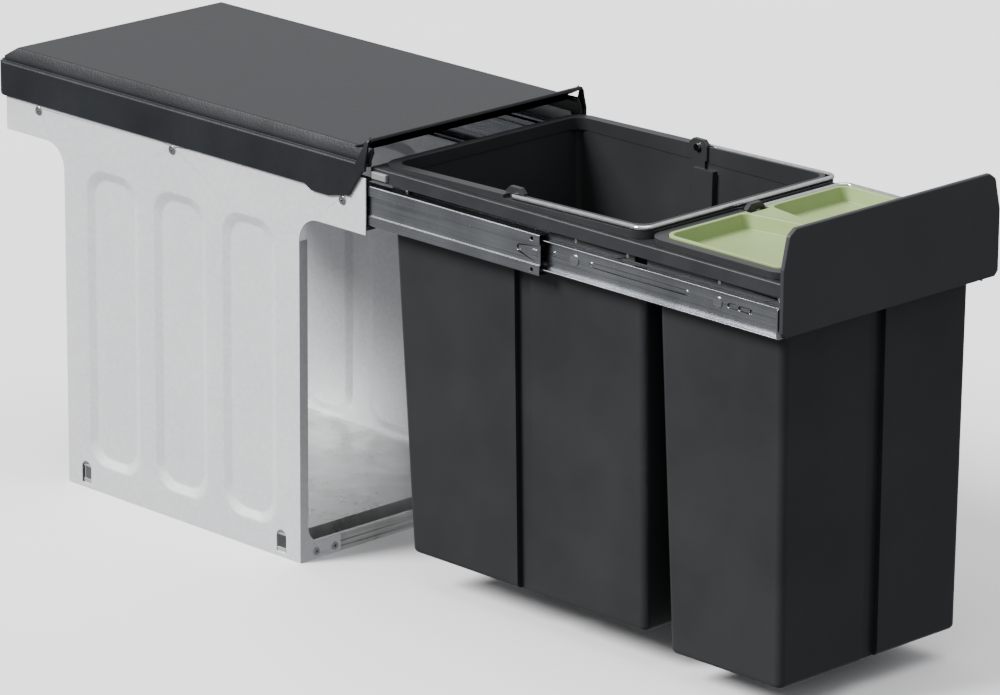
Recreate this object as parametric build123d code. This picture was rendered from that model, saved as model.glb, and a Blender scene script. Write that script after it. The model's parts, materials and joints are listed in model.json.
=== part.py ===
from build123d import *
import math
import os

# Pull-out waste separator for a 300 mm kitchen cabinet, drawn pulled out to its stop.
# Origin: centre of the four floor screws, on the cabinet floor. +Z is up, the drawer
# comes out towards -Y, and +X is on the right for someone who stands in front of it.

# housing
HOUSING_WIDTH = 250.0
HOUSING_DEPTH = 296.0
SHEET = 1.0
WING_UNDER = 3.3
CUTOUT_RADIUS = 22.0
PLATE_TOP = 358.8
HORN_TOP = 350.0
HORN_REACH = 79.5
WING_REACH = 75.0
EDGE_FLANGE = 9.5
GUSSET_REACH = 46.0
GUSSET_HEIGHT = 15.0
GUSSET_RADIUS = 14.0

# pressed panels in the side plates
PANEL_COUNT = 3
PANEL_PITCH = 86.0
PANEL_WIDTH = 68.0
PANEL_LOW = 23.0
PANEL_HIGH = 290.0
PANEL_RADIUS = 22.0
PANEL_SLOPE = 10.0
PANEL_DEPTH = 3.2
PANEL_EASE = (0.22, 0.1)

# arched slots near the feet
SLOT_WIDTH = 12.0
SLOT_LOW = 4.0
SLOT_HIGH = 24.0
SLOT_INSET = 17.5
TAB_LOW = 130.0
TAB_HIGH = 142.0

# floor pan
PAN_FLOOR = 20.0
CHANNEL_WIDTH = 20.0
LIP_HEIGHT = 15.0
LIP_HEM = 5.0
SCREW_INSET = 10.5
SCREW_SPACING_X = HOUSING_WIDTH - 60.0
SCREW_HOLE_R = 2.6
GUSSET_RIVETS = (18.0, 39.0)
GUSSET_RIVET_Z = 6.7

# cover
COVER_TOP = 374.0
COVER_WALL = 2.0
COVER_SIDE = 2.6
SKIRT_LOW = 332.0
SKIRT_STEP_Z = 362.5
STEP_WIDTH = 6.0
TOP_INSET = 9.5
COVER_REAR_REACH = 10.0
REAR_STEP = 4.0
REAR_INSET = 16.0
STEP_GROOVE = 1.4
COVER_CORNER = 9.0
LIP_RISE = 8.5
LIP_RAMP = 19.0
LIP_EDGE = 2.5
LIP_HALF = HOUSING_WIDTH / 2 - 5.0
CHEEK_T = 2.2
CHEEK_RUN = 11.0

# ball slides
RAIL_Z = 326.5
CABINET_HALF = 21.2
CUTOUT_Z = RAIL_Z - CABINET_HALF - WING_UNDER
MID_HALF = 17.0
INNER_HALF = 12.6
RAIL_SHEET = 1.2
RAIL_BEND = 1.1
RAIL_DEPTH = 11.5
RAIL_PLAY = 0.3
MIDDLE_RIVET_Y = 8.0
MID_GAP = 0.8
INNER_FROM = 5.2
MID_RECESS_HALF = 8.0
MID_RECESS = 2.4
MID_LENGTH = 380.0
MID_LEAD = 29.0
BALL_R = 1.48
BALLS_PER_RACE = 6
CAGE_LENGTH = 145.0
CAGE_SHEET = 0.5
TRAVEL = 450.0
MID_RATIO = 0.5

# drawer frame
FRAME_SIDE_GAP = 5.5
FRAME_HALF = HOUSING_WIDTH / 2 - FRAME_SIDE_GAP
FRAME_TOP = 359.0
FRAME_SHEET = 1.2
FRAME_LIP = 11.0
LEDGE = 11.0
WEB_WINDOW = 13.0

# bins
COLLAR_HALF = FRAME_HALF - 5.5
BIN_HALF = COLLAR_HALF - 6.7
WALL = 2.2
BIN_SEAT_GAP = 0.1
STEP_Z = 352.0
RIM_HALF = COLLAR_HALF - 9.5
RIM_INSET = 9.5
RIM_LIP = 2.5
REBATE = 3.2
RIM_RADIUS = 12.0
BIN_RADIUS = 6.5
GROOVE_WIDTH = 18.0
GROOVE_DEPTH = 5.0
BOTTOM_ROUND = 4.5
LARGE_LENGTH = 298.0
LARGE_BOTTOM = 32.0
LARGE_GROOVE_SHIFT = 8.0
LARGE_TAPER_X = 7.5
LARGE_TAPER_REAR = 17.0
LARGE_RIM_REAR = 362.0
LARGE_RIM_FRONT = 369.0
SMALL_LENGTH = 148.0
SMALL_BOTTOM = 24.5
TRAY_LEDGE = 2.0
TRAY_LEDGE_T = 2.5
SMALL_TAPER_X = 4.0
SMALL_TAPER_REAR = 16.0
SMALL_RIM = 364.5
BIN_GAP = 1.0
EAR_WIDTH = 20.0
EAR_TOP = 371.0
EAR_THICK = 4.5
EAR_RIB_LOW = 308.0

# handles
WIRE_R = 2.0
WIRE_PLAY = 0.08
WIRE_BEND = 9.0
HEAD_R = 3.0

# tray
TRAY_GAP = 0.5
TRAY_WALL = 2.0
TRAY_RIM = 3.5
TRAY_TOP = 366.0
DIVIDER_WIDE = 28.0
DIVIDER_NARROW = 9.0
TRAY_DRAFT = 12.0

# front panel
PANEL_T = 4.0
FRONT_WIDTH = HOUSING_WIDTH - 2.0
FRONT_LOW = 317.6
FRONT_HIGH = 403.0
FRONT_SHOULDER = 372.0
FRONT_TOP_HALF = HOUSING_WIDTH / 2 - 9.0

# places that follow from the sizes
PLATE_OUT = HOUSING_WIDTH / 2
PLATE_IN = PLATE_OUT - SHEET
FRONT = -HOUSING_DEPTH / 2
REAR = HOUSING_DEPTH / 2
HORN_Y = FRONT - HORN_REACH
WING_Y = REAR + WING_REACH
PANEL_YS = [(i - (PANEL_COUNT - 1) / 2) * PANEL_PITCH for i in range(PANEL_COUNT)]
SLOT_YS = (FRONT + SLOT_INSET + SLOT_WIDTH / 2, REAR - SLOT_INSET - SLOT_WIDTH / 2)
SCREW_Y = HOUSING_DEPTH / 2 - SCREW_INSET
FRAME_REAR = WING_Y - 1.0 - TRAVEL
LARGE_REAR = FRAME_REAR - 4.0
LARGE_FRONT = LARGE_REAR - LARGE_LENGTH
LARGE_MID = (LARGE_REAR + LARGE_FRONT) / 2
SMALL_REAR = LARGE_FRONT - BIN_GAP
SMALL_FRONT = SMALL_REAR - SMALL_LENGTH
SMALL_MID = (SMALL_REAR + SMALL_FRONT) / 2
FRAME_FRONT = SMALL_FRONT - 4.6
BAR_Y = (LARGE_FRONT + SMALL_REAR) / 2
SEAT_Z = FRAME_TOP + BIN_SEAT_GAP
BODY_INSET = COLLAR_HALF - BIN_HALF
RIVET_YS = (WING_Y - 43.0, MIDDLE_RIVET_Y, HORN_Y + 27.0)
SIDES = (-1, 1)
SIDE_NAMES = {-1: "left", 1: "right"}


def block(x0, x1, y0, y1, z0, z1):
    """A box between two corners, given in any order."""
    size = (abs(x1 - x0), abs(y1 - y0), abs(z1 - z0))
    middle = ((x0 + x1) / 2, (y0 + y1) / 2, (z0 + z1) / 2)
    return Pos(*middle) * Box(*size)


def prism_x(points, x0, x1):
    """A (y, z) outline made solid from x0 to x1."""
    outline = Plane.YZ * make_face(Polyline(*points, close=True))
    return Pos(min(x0, x1), 0, 0) * extrude(outline, amount=abs(x1 - x0), dir=(1, 0, 0))


def prism_y(points, y0, y1):
    """An (x, z) outline made solid from y0 to y1."""
    outline = Plane.XZ * make_face(Polyline(*points, close=True))
    return Pos(0, min(y0, y1), 0) * extrude(outline, amount=abs(y1 - y0), dir=(0, 1, 0))


def rod_x(radius, x0, x1, y, z):
    return Pos((x0 + x1) / 2, y, z) * Rot(0, 90, 0) * Cylinder(radius, abs(x1 - x0))


def rod_y(radius, y0, y1, x, z):
    return Pos(x, (y0 + y1) / 2, z) * Rot(90, 0, 0) * Cylinder(radius, abs(y1 - y0))


def rod_z(radius, z0, z1, x, y):
    return Pos(x, y, (z0 + z1) / 2) * Cylinder(radius, abs(z1 - z0))


def group(pieces):
    """Separate solids kept together in one node."""
    return Compound([solid for piece in pieces for solid in piece.solids()])


def flip(piece):
    """The same piece on the other side of the centre plane."""
    return mirror(piece, about=Plane.YZ)


def rounded(x_half, y0, y1, radius, z):
    """A rounded rectangle lying flat at height z, centred across the part."""
    return Pos(0, (y0 + y1) / 2, z) * RectangleRounded(2 * x_half, abs(y1 - y0), radius)


# ---- housing ----


def pressed(depth_from):
    """The three pressed panels as solids that start at |x| = depth_from and ease in and out of the sheet."""
    middle_z = (PANEL_LOW + PANEL_HIGH) / 2
    height = PANEL_HIGH - PANEL_LOW
    run, fall = PANEL_EASE
    stages = ((0.0, 0.0), (run, fall), (1 - run, 1 - fall), (1.0, 1.0))
    panels = []
    for y in PANEL_YS:
        sheet = Plane((-depth_from, y, middle_z), x_dir=(0, 1, 0), z_dir=(1, 0, 0))
        rings = []
        for across, deep in stages:
            inset = 2 * PANEL_SLOPE * across
            corner = PANEL_RADIUS - PANEL_SLOPE * across / 2
            ring = RectangleRounded(PANEL_WIDTH - inset, height - inset, corner)
            rings.append(sheet.offset(PANEL_DEPTH * deep) * ring)
        panels.append(loft(rings, ruled=True))
    return panels


def left_plate():
    outline = [
        (FRONT, 0),
        (FRONT, CUTOUT_Z),
        (HORN_Y, CUTOUT_Z),
        (HORN_Y, HORN_TOP),
        (HORN_Y + 12, HORN_TOP),
        (HORN_Y + 16, PLATE_TOP),
        (WING_Y, PLATE_TOP),
        (WING_Y, CUTOUT_Z),
        (REAR, CUTOUT_Z),
        (REAR, 0),
    ]
    plate = prism_x(outline, -PLATE_OUT, -PLATE_IN)
    inner_corners = [
        edge
        for edge in plate.edges().filter_by(Axis.X)
        if abs(edge.center().Z - CUTOUT_Z) < 0.1 and abs(abs(edge.center().Y) - REAR) < 0.1
    ]
    plate = fillet(inner_corners, CUTOUT_RADIUS)
    for panel in pressed(PLATE_IN):
        plate += panel
    for panel in pressed(PLATE_OUT):
        plate -= panel
    flange_in = -PLATE_OUT + EDGE_FLANGE
    flange_top = CUTOUT_Z - CUTOUT_RADIUS
    for y0, y1 in ((FRONT, FRONT + SHEET), (REAR - SHEET, REAR)):
        plate += block(-PLATE_OUT, flange_in, y0, y1, 0, flange_top)
        gusset = block(-PLATE_OUT, -PLATE_OUT + GUSSET_REACH, y0, y1, 0, GUSSET_HEIGHT)
        corner = block(flange_in, flange_in + GUSSET_RADIUS, y0, y1, GUSSET_HEIGHT, GUSSET_HEIGHT + GUSSET_RADIUS)
        corner -= rod_y(GUSSET_RADIUS, y0, y1, flange_in + GUSSET_RADIUS, GUSSET_HEIGHT + GUSSET_RADIUS)
        plate += gusset + corner
        for reach in GUSSET_RIVETS:
            plate -= rod_y(2.0, y0 - 1, y1 + 1, -PLATE_OUT + reach, GUSSET_RIVET_Z)
    plate += block(flange_in - SHEET, flange_in, FRONT + SHEET, FRONT + 4, TAB_LOW, TAB_HIGH)
    arch = SLOT_WIDTH / 2
    for y in SLOT_YS:
        plate -= block(-PLATE_OUT - 1, -PLATE_IN + 1, y - arch, y + arch, SLOT_LOW, SLOT_HIGH - arch)
        plate -= rod_x(arch, -PLATE_OUT - 1, -PLATE_IN + 1, y, SLOT_HIGH - arch)
    for y in RIVET_YS:
        plate -= rod_x(2.5, -PLATE_OUT - 1, -PLATE_IN + 1, y, RAIL_Z)
    return plate


def floor_pan():
    """One folded sheet: a raised floor between two channels that stand on the cabinet floor."""
    half = PLATE_IN
    front = FRONT + SHEET
    rear = REAR - SHEET
    step_front = FRONT + CHANNEL_WIDTH
    step_rear = REAR - CHANNEL_WIDTH
    pan = block(-half, half, step_front - SHEET, step_rear + SHEET, PAN_FLOOR - SHEET, PAN_FLOOR)
    for lip, step, inward in ((front, step_front, 1), (rear, step_rear, -1)):
        pan += block(-half, half, lip, step, 0, SHEET)
        pan += block(-half, half, step - inward * SHEET, step, 0, PAN_FLOOR)
        pan += block(-half, half, lip, lip + inward * SHEET, 0, LIP_HEIGHT)
        pan += block(-half, half, lip, lip + inward * LIP_HEM, LIP_HEIGHT - SHEET, LIP_HEIGHT)
    for side in SIDES:
        edge = side * half
        pan += block(edge, edge - side * SHEET, step_front - SHEET, step_rear + SHEET, 0, PAN_FLOOR)
        for y in (-SCREW_Y, SCREW_Y):
            pan -= rod_z(SCREW_HOLE_R, -1, SHEET + 1, side * SCREW_SPACING_X / 2, y)
        for y in SLOT_YS:
            gap = SLOT_WIDTH / 2 + 2
            pan -= block(edge, edge - side * SHEET, y - gap, y + gap, SLOT_LOW + 4, PAN_FLOOR - SHEET)
        for reach in GUSSET_RIVETS:
            x = side * (PLATE_OUT - reach)
            for lip, inward in ((front, 1), (rear, -1)):
                pan -= rod_y(2.0, lip - inward, lip + 2 * inward, x, GUSSET_RIVET_Z)
    return pan


def rear_brace():
    """Folded tie across the back of the two wings, under the slides' height."""
    half = PLATE_IN
    low = CUTOUT_Z + 2
    high = FRAME_TOP - FRAME_LIP - 2
    brace = block(-half, half, WING_Y - SHEET, WING_Y, low, high)
    brace += block(-half + 14, half - 14, WING_Y - 9, WING_Y, low, low + SHEET)
    for side in SIDES:
        edge = side * half
        brace += block(edge, edge - side * SHEET, WING_Y - 12, WING_Y, low, RAIL_Z - CABINET_HALF - 0.2)
    return brace


def cover_outline(inset_x, inset_z, low):
    """Half profile of the cover, mirrored: skirt, step, groove and top edge."""
    side = PLATE_OUT + COVER_SIDE - inset_x
    step = SKIRT_STEP_Z - inset_z
    top = COVER_TOP - inset_z
    right = [
        (side, low),
        (side, step - 1.5),
        (side - 1.5, step),
        (side - 2.2, step),
        (side - 2.2, step - STEP_GROOVE),
        (side - STEP_WIDTH, step - STEP_GROOVE),
        (side - STEP_WIDTH, step + 3),
        (side - TOP_INSET, top - 1),
        (side - TOP_INSET - 1, top),
    ]
    left = [(-x, z) for x, z in reversed(right)]
    return right + left


def rear_slope(rear, drop):
    """What the cover's stepped and sloped rear end leaves out, at a depth below its surface."""
    step = SKIRT_STEP_Z - drop
    outline = [
        (rear + 1, step),
        (rear - REAR_STEP, step),
        (rear - REAR_STEP, step + 3),
        (rear - REAR_INSET, COVER_TOP - drop - 1),
        (rear - REAR_INSET - 1, COVER_TOP - drop),
        (rear - REAR_INSET - 1, COVER_TOP + 2),
        (rear + 1, COVER_TOP + 2),
    ]
    return prism_x(outline, -PLATE_OUT - 9, PLATE_OUT + 9)


def top_cover():
    """Moulded shelf cover with a raised lip along its open front."""
    rear = WING_Y + COVER_REAR_REACH
    front = HORN_Y - 1.5
    shell = prism_y(cover_outline(0, 0, SKIRT_LOW), front, rear)
    corners = rounded(PLATE_OUT + COVER_SIDE, front - 50, rear, COVER_CORNER, SKIRT_LOW - 1)
    shell = shell & extrude(corners, amount=COVER_TOP - SKIRT_LOW + 2)
    hollow = prism_y(cover_outline(COVER_SIDE, COVER_WALL, SKIRT_LOW - 1), front - 1, rear - COVER_SIDE)
    ridge = COVER_TOP + LIP_RISE
    ramp = [
        (front + LIP_RAMP, COVER_TOP - COVER_WALL),
        (front + LIP_RAMP, COVER_TOP),
        (front + LIP_RAMP * 0.5, COVER_TOP + LIP_RISE * 0.35),
        (front + 2, ridge),
        (front, ridge),
        (front - 1, ridge - LIP_EDGE),
        (front + 2, ridge - LIP_EDGE - 1),
        (front + LIP_RAMP * 0.5, COVER_TOP + LIP_RISE * 0.35 - COVER_WALL),
    ]
    top_half = PLATE_OUT + COVER_SIDE - TOP_INSET
    lip = prism_x(ramp, -LIP_HALF, LIP_HALF)
    mouth = block(-top_half + 2, top_half - 2, front - 5, front + LIP_RAMP * 0.5, COVER_TOP - 4, COVER_TOP + 0.1)
    shell -= rear_slope(rear, 0)
    hollow -= rear_slope(rear - COVER_SIDE, COVER_WALL)
    across = (-PLATE_OUT - 9, PLATE_OUT + 9)
    corner_y = rear - COVER_CORNER
    corner_z = SKIRT_LOW + COVER_CORNER
    skirt_corner = block(*across, corner_y, rear + 1, SKIRT_LOW - 1, corner_z)
    skirt_corner -= rod_x(COVER_CORNER, *across, corner_y, corner_z)
    cover = shell - skirt_corner - hollow - mouth + lip
    outer_x = PLATE_OUT + COVER_SIDE
    for side in SIDES:
        cheek = [
            (side * (LIP_HALF - 1), ridge),
            (side * LIP_HALF, ridge),
            (side * (LIP_HALF + 2.2), ridge - 0.9),
            (side * (LIP_HALF + 3.4), ridge - 3),
            (side * outer_x, SKIRT_STEP_Z + 0.5),
            (side * outer_x, SKIRT_STEP_Z - 2),
            (side * (outer_x - CHEEK_T), SKIRT_STEP_Z - 2),
            (side * (LIP_HALF + 3.4 - CHEEK_T), ridge - 3.4),
            (side * (LIP_HALF - 1), ridge - 2.6),
        ]
        fin = prism_y(cheek, front, front + CHEEK_RUN)
        above = [
            (front + 2, ridge + 1),
            (front + CHEEK_RUN, SKIRT_STEP_Z),
            (front + CHEEK_RUN + 5, SKIRT_STEP_Z),
            (front + CHEEK_RUN + 5, ridge + 1),
        ]
        cover += fin - prism_x(above, side * PLATE_OUT * 0.8, side * (PLATE_OUT + 9))
    slant = [
        (front - 2, SKIRT_LOW - 2),
        (HORN_Y + 18, SKIRT_LOW - 2),
        (HORN_Y + 18, SKIRT_LOW),
        (HORN_Y + 1, SKIRT_LOW + 24),
        (front - 2, SKIRT_LOW + 24),
    ]
    cover -= prism_x(slant, -PLATE_OUT - 9, PLATE_OUT + 9)
    for side in SIDES:
        inner = side * PLATE_OUT
        outer = side * (PLATE_OUT + COVER_SIDE)
        tongue = [
            (HORN_Y + 20, SKIRT_LOW + 0.5),
            (HORN_Y + 42, SKIRT_LOW - 4.5),
            (HORN_Y + 62, SKIRT_LOW - 4.5),
            (HORN_Y + 72, SKIRT_LOW + 0.5),
        ]
        cover += prism_x(tongue, inner, outer)
        for y in PANEL_YS:
            cover += block(inner, side * (PLATE_OUT - 3), y - 1, y + 1, PLATE_TOP, SKIRT_STEP_Z - 1.9)
    return cover


# ---- slides, drawn for the left side: u is the distance in from the side plate ----


def rail_box(u0, u1, y0, y1, z0, z1):
    return block(-PLATE_IN + u0, -PLATE_IN + u1, y0, y1, RAIL_Z + z0, RAIL_Z + z1)


def channel(u_web, u_open, half, y0, y1):
    """A C section: a web at u_web and two flanges that reach u_open."""
    inward = 1 if u_open > u_web else -1
    web = rail_box(u_web, u_web + inward * RAIL_SHEET, y0, y1, -half, half)
    for sign in SIDES:
        web += rail_box(u_web, u_open, y0, y1, sign * half, sign * (half - RAIL_SHEET))
    corners = [
        edge
        for edge in web.edges().filter_by(Axis.Y)
        if abs(edge.center().X + PLATE_IN - u_web) < 0.01 and abs(abs(edge.center().Z - RAIL_Z) - half) < 0.01
    ]
    return fillet(corners, RAIL_BEND)


CABINET_Y = (HORN_Y + 0.5, WING_Y - 2.0)
MID_U = RAIL_SHEET + MID_GAP
MID_FRONT = HORN_Y + MID_LEAD - TRAVEL * MID_RATIO
MID_Y = (MID_FRONT, MID_FRONT + MID_LENGTH)
INNER_Y = (FRAME_FRONT + 5.5, FRAME_REAR - 19.0)
INNER_U = RAIL_DEPTH
OUTER_CAGE_MID = (HORN_Y + MID_Y[1]) / 2
INNER_CAGE_MID = (MID_FRONT + INNER_Y[1]) / 2
BIG_RIVET_YS = (LARGE_MID - 74, SMALL_MID - 5)
PIP_YS = (BIG_RIVET_YS[0] + 22.5, BIG_RIVET_YS[0] - 18.5, BIG_RIVET_YS[1] + 33.0)
HANGER_YS = (FRAME_REAR - 35, BIG_RIVET_YS[0], BAR_Y + 19, BIG_RIVET_YS[1], FRAME_FRONT + 11)


def cabinet_rail():
    reach = RAIL_DEPTH - RAIL_PLAY
    rail = channel(0, reach, CABINET_HALF, *CABINET_Y)
    for sign in SIDES:
        rail += rail_box(reach - RAIL_SHEET, reach, *CABINET_Y, sign * CABINET_HALF, sign * (CABINET_HALF - 2.2))
    for y in RIVET_YS:
        rail -= rod_x(2.5, -PLATE_IN - 1, -PLATE_IN + RAIL_SHEET + 1, y, RAIL_Z)
    return rail


def mid_rail():
    """Its web is pressed in along the middle, between the two outer races."""
    rail = channel(MID_U, RAIL_DEPTH - RAIL_PLAY, MID_HALF, *MID_Y)
    bed = MID_U + MID_RECESS
    rail -= rail_box(MID_U - 1, MID_U + RAIL_SHEET, *MID_Y, -MID_RECESS_HALF, MID_RECESS_HALF)
    rail += rail_box(bed - RAIL_SHEET, bed, *MID_Y, -MID_RECESS_HALF - RAIL_SHEET, MID_RECESS_HALF + RAIL_SHEET)
    for sign in SIDES:
        inner = sign * MID_RECESS_HALF
        rail += rail_box(MID_U, bed, *MID_Y, inner, inner + sign * RAIL_SHEET)
    through = (-PLATE_IN, -PLATE_IN + RAIL_DEPTH)
    rail -= rod_x(2.2, *through, MID_FRONT + 24, RAIL_Z + 2)
    for sign in SIDES:
        z = sign * (MID_HALF - 4.2)
        rail -= rail_box(0, MID_U + RAIL_SHEET + 0.1, MID_FRONT + 7, MID_FRONT + 10, z - 1.5, z + 1.5)
    rail += rail_box(bed - RAIL_SHEET - 0.8, bed - RAIL_SHEET, MID_FRONT + 3, MID_FRONT + 8, -1, 4)
    return rail


def inner_rail():
    """Its web is on the drawer side and its flanges face outwards, with an end tab."""
    rail = channel(INNER_U, INNER_FROM, INNER_HALF, *INNER_Y)
    front = INNER_Y[0]
    tab_half = INNER_HALF - RAIL_SHEET
    rail += rail_box(INNER_FROM - 1.2, INNER_U, front, front + 1.6, -tab_half, tab_half)
    through = (-PLATE_IN + INNER_FROM, -PLATE_IN + INNER_U + 1)
    for reach in (34.0, 45.5, 57.0):
        rail -= rod_x(1.7, *through, front + reach, RAIL_Z + 1.5)
    for y in BIG_RIVET_YS:
        rail -= rod_x(2.4, *through, y, RAIL_Z + 1.5)
    for y in PIP_YS:
        pip = rod_x(2.0, -PLATE_IN + INNER_U - RAIL_SHEET - 0.6, -PLATE_IN + INNER_U - RAIL_SHEET, y, RAIL_Z + 2)
        rail += pip
    return rail


def race_balls(half_low, half_high, u, middle_y):
    """Ball places in the upper and lower race between two rails."""
    pitch = CAGE_LENGTH / BALLS_PER_RACE
    z = (half_low + half_high) / 2
    first = middle_y - CAGE_LENGTH / 2 + pitch / 2
    return [
        (-PLATE_IN + u, first + i * pitch, RAIL_Z + sign * z)
        for sign in SIDES
        for i in range(BALLS_PER_RACE)
    ]


OUTER_U = (MID_U + RAIL_DEPTH) / 2 + 0.6
INNER_RACE_U = (INNER_FROM + INNER_U) / 2
OUTER_BALLS = race_balls(MID_HALF, CABINET_HALF - RAIL_SHEET, OUTER_U, OUTER_CAGE_MID)
INNER_BALLS = race_balls(INNER_HALF, MID_HALF - RAIL_SHEET, INNER_RACE_U, INNER_CAGE_MID)


def cage(half_low, half_high, u0, u1, u_web, middle_y, balls):
    """A thin strip in each race, joined by a web, with a pocket for every ball."""
    y0 = middle_y - CAGE_LENGTH / 2
    y1 = middle_y + CAGE_LENGTH / 2
    z = (half_low + half_high) / 2
    strip = CAGE_SHEET / 2
    body = rail_box(u_web, u_web + CAGE_SHEET, y0, y1, -z - strip, z + strip)
    for sign in SIDES:
        body += rail_box(u0, u1, y0, y1, sign * z - strip, sign * z + strip)
    for x, y, ball_z in balls:
        body -= rod_z(BALL_R + 0.25, ball_z - 3, ball_z + 3, x, y)
    return body


def ball_set(balls):
    return group([Pos(*place) * Sphere(BALL_R) for place in balls])


# ---- drawer frame ----


def frame_side():
    """Folded section: ledge on top, outer lip, and a web down to the inner rail."""
    y0 = FRAME_FRONT
    y1 = FRAME_REAR
    ledge_in = FRAME_HALF - LEDGE
    side = block(-FRAME_HALF, -ledge_in, y0, y1, FRAME_TOP - FRAME_SHEET, FRAME_TOP)
    side += block(-FRAME_HALF, -FRAME_HALF + FRAME_SHEET, y0, y1, FRAME_TOP - FRAME_LIP, FRAME_TOP)
    outer_top = [
        edge
        for edge in side.edges().filter_by(Axis.Y)
        if edge.center().X < -FRAME_HALF + 0.1 and edge.center().Z > FRAME_TOP - 0.1
    ]
    side = fillet(outer_top, FRAME_SHEET * 0.9)
    hang = -PLATE_IN + INNER_U
    side += block(hang, hang + FRAME_SHEET, y0 + 2, y1 - 18, RAIL_Z - INNER_HALF, FRAME_TOP - FRAME_SHEET)
    side -= block(hang - 1, hang + 2, BAR_Y - 2, BAR_Y - 2 + WEB_WINDOW, PIN_Z - 3, FRAME_TOP - FRAME_SHEET)
    for y in HANGER_YS:
        side -= rod_x(1.5, hang - 1, hang + FRAME_SHEET + 1, y, PIN_Z)
    for y in BIG_RIVET_YS:
        side -= rod_x(2.4, hang - 1, hang + FRAME_SHEET + 1, y, RAIL_Z + 1.5)
    under = FRAME_TOP - FRAME_SHEET
    for y in FRAME_PIN_YS:
        side -= rod_z(2.0, FRAME_TOP - 2, FRAME_TOP + 1, -FRAME_PIN_X, y)
        side -= block(hang - 0.5, hang + FRAME_SHEET + 0.5, y - 6.5, y + 6.5, under - 2.4, under)
    return side


PIN_Z = RAIL_Z + INNER_HALF + 4.5
FRAME_PIN_X = FRAME_HALF - LEDGE / 2
FRAME_PIN_YS = (FRAME_REAR - 4.5, BAR_Y, FRAME_FRONT + 4.0)


def cross_bar(y0, y1, lips):
    """A bar between the side sections; its end tabs lie under their ledges."""
    half = FRAME_HALF - LEDGE
    top = FRAME_TOP
    bar = block(-half, half, y0, y1, top - FRAME_SHEET, top)
    for y in lips:
        inward = 1 if y == min(y0, y1) else -1
        bar += block(-half, half, y, y + inward * FRAME_SHEET, top - FRAME_LIP, top)
    for side in SIDES:
        tab = block(side * half, side * (FRAME_PIN_X + 4), y0, y1, top - 2 * FRAME_SHEET, top - FRAME_SHEET)
        root = block(side * half, side * (half - 4), y0, y1, top - 2 * FRAME_SHEET, top - FRAME_SHEET)
        middle = min(FRAME_PIN_YS, key=lambda place: abs(place - (y0 + y1) / 2))
        bar += tab + root - rod_z(2.0, top - 4, top, side * FRAME_PIN_X, middle)
    return bar


def front_bar():
    bar = cross_bar(FRAME_FRONT, FRAME_FRONT + 9.0, (FRAME_FRONT,))
    for x in PANEL_SCREW_XS:
        bar += block(x - 9, x + 9, FRAME_FRONT, FRAME_FRONT + FRAME_SHEET, FRONT_LOW + 12, FRAME_TOP - FRAME_LIP)
        bar -= rod_y(2.0, FRAME_FRONT - 1, FRAME_FRONT + 3, x, PANEL_SCREW_Z)
    return bar


PANEL_SCREW_X = HOUSING_WIDTH / 2 - 29.0
PANEL_SCREW_XS = (-PANEL_SCREW_X, -PANEL_SCREW_X / 3, PANEL_SCREW_X / 3, PANEL_SCREW_X)
PANEL_SCREW_Z = FRONT_LOW + 18.0


def front_panel():
    back = FRAME_FRONT
    face = back - PANEL_T
    half = FRONT_WIDTH / 2
    right = [
        (half - 4, FRONT_LOW),
        (half, FRONT_LOW + 4),
        (half, FRONT_SHOULDER),
        (FRONT_TOP_HALF + 2, FRONT_HIGH - 5),
        (FRONT_TOP_HALF - 5, FRONT_HIGH),
    ]
    left = [(-x, z) for x, z in reversed(right)]
    panel = prism_y(right + left, face, back)
    corners = [
        edge
        for edge in panel.edges().filter_by(Axis.Y)
        if FRONT_SHOULDER - 1 < edge.center().Z
    ]
    panel = fillet(corners, 4)
    panel = fillet(panel.faces().sort_by(Axis.Y)[0].edges(), 1.2)
    for x in PANEL_SCREW_XS:
        panel -= rod_y(1.6, back - 3, back + 1, x, PANEL_SCREW_Z)
    return panel


# ---- bins ----


def bin_shell(rear, front, bottom, taper_x, taper_rear, taper_front):
    """Body below the collar: outer solid, inner hollow and the section at the step."""
    top_rear = rear - BODY_INSET
    top_front = front + BODY_INSET - 1.0

    def layer(z, inset_x, inset_rear, inset_front, shrink):
        y0 = top_front + inset_front + shrink
        y1 = top_rear - inset_rear - shrink
        return rounded(BIN_HALF - inset_x - shrink, y0, y1, BIN_RADIUS - shrink * 0.8, z)

    outer = loft([layer(bottom, taper_x, taper_rear, taper_front, 0), layer(STEP_Z, 0, 0, 0, 0)])
    base = outer.faces().sort_by(Axis.Z)[0].edges()
    outer = fillet(base, BOTTOM_ROUND)
    inner = loft(
        [
            layer(bottom + WALL, taper_x, taper_rear, taper_front, WALL),
            layer(STEP_Z, 0, 0, 0, WALL),
        ]
    )
    floor = inner.faces().sort_by(Axis.Z)[0].edges()
    inner = fillet(floor, BOTTOM_ROUND - WALL)
    return outer, inner


def wall_groove(across, outward, wall, taper, bottom, middle, grow):
    """What lies outside a grooved wall, over the groove's width, grown by the wall thickness."""
    far = wall + outward * 40
    low = wall - outward * (taper + GROOVE_DEPTH + grow)
    high = wall - outward * (GROOVE_DEPTH + grow)
    top = STEP_Z - 7 + grow
    outline = [(far, bottom - 5), (low, bottom - 5), (high, top), (far, top)]
    half = GROOVE_WIDTH / 2 + grow
    if across == "y":
        return prism_y(outline, middle - half, middle + half)
    return prism_x(outline, middle - half, middle + half)


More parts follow.
